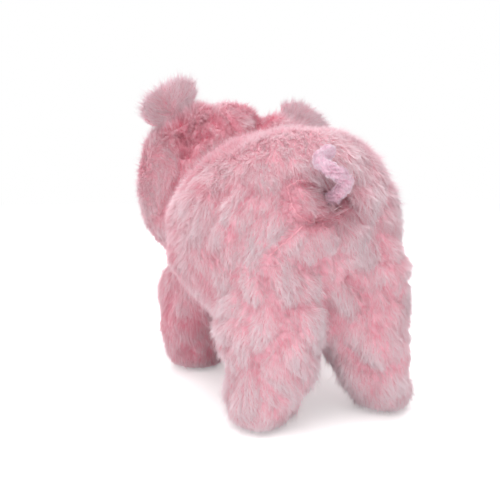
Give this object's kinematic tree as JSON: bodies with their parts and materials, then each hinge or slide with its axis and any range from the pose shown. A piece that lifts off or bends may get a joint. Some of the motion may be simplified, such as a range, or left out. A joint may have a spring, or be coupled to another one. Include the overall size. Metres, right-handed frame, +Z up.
{
  "type": "plush pig",
  "caption": "Standing stuffed pig with long fur panels, padded snout, plastic eyes, folding ears and a curled tail that swings.",
  "frame": {"origin": "on the floor, under the middle of the whole toy's box", "axes": "+Z up, the pig looks along -Y, its left side is +X"},
  "size_m": [0.188, 0.2994, 0.2511],
  "materials": {
    "fur": "long soft pink pile, paler at the tips, lying in clumps",
    "short_pile": "short looped lilac-pink pile",
    "stuffing": "white fibre filling",
    "nostril": "rose satin stitching",
    "eye": "polished black",
    "washer": "natural moulded"
  },
  "bodies": {
    "stuffed_body": {"body_stuffing": "stuffing", "body_panel_left": "fur", "body_panel_right": "fur", "belly_gusset": "fur", "rump_patch": "fur", "head_stuffing": "stuffing", "head_panel_left": "fur", "head_panel_right": "fur", "forehead_gusset": "fur", "snout_front": "short_pile", "snout_side": "short_pile", "snout_stuffing": "stuffing", "nostril_left": "nostril", "eye_left": "eye", "eye_washer_left": "washer", "nostril_right": "nostril", "eye_right": "eye", "eye_washer_right": "washer", "rear_leg_left": "fur", "rear_sole_left": "fur", "rear_leg_stuffing_left": "stuffing", "rear_leg_right": "fur", "rear_sole_right": "fur", "rear_leg_stuffing_right": "stuffing", "front_leg_left": "fur", "front_sole_left": "fur", "front_leg_stuffing_left": "stuffing", "front_leg_right": "fur", "front_sole_right": "fur", "front_leg_stuffing_right": "stuffing"},
    "ear_left": {"ear_left_back": "fur", "ear_left_lining": "short_pile"},
    "ear_right": {"ear_right_back": "fur", "ear_right_lining": "short_pile"},
    "tail": {"tail_sleeve": "short_pile", "tail_cord": "stuffing"}
  },
  "joints": [
    {"name": "ear_left_fold", "type": "hinge", "parent": "stuffed_body", "child": "ear_left", "pos_m": [0.06095, -0.0593, 0.21391], "axis": [0.8344, 0, -0.5512], "range_deg": [-40, 40], "stiffness_Nm_per_rad": 0.03},
    {"name": "ear_right_fold", "type": "hinge", "parent": "stuffed_body", "child": "ear_right", "pos_m": [-0.05132, -0.0593, 0.20704], "axis": [0.7594, 0, 0.6506], "range_deg": [-40, 40], "stiffness_Nm_per_rad": 0.03},
    {"name": "tail_swing", "type": "hinge", "parent": "stuffed_body", "child": "tail", "pos_m": [0.01115, 0.12339, 0.14787], "axis": [0, 1, 0], "range_deg": [-60, 60], "stiffness_Nm_per_rad": 0.01}
  ]
}
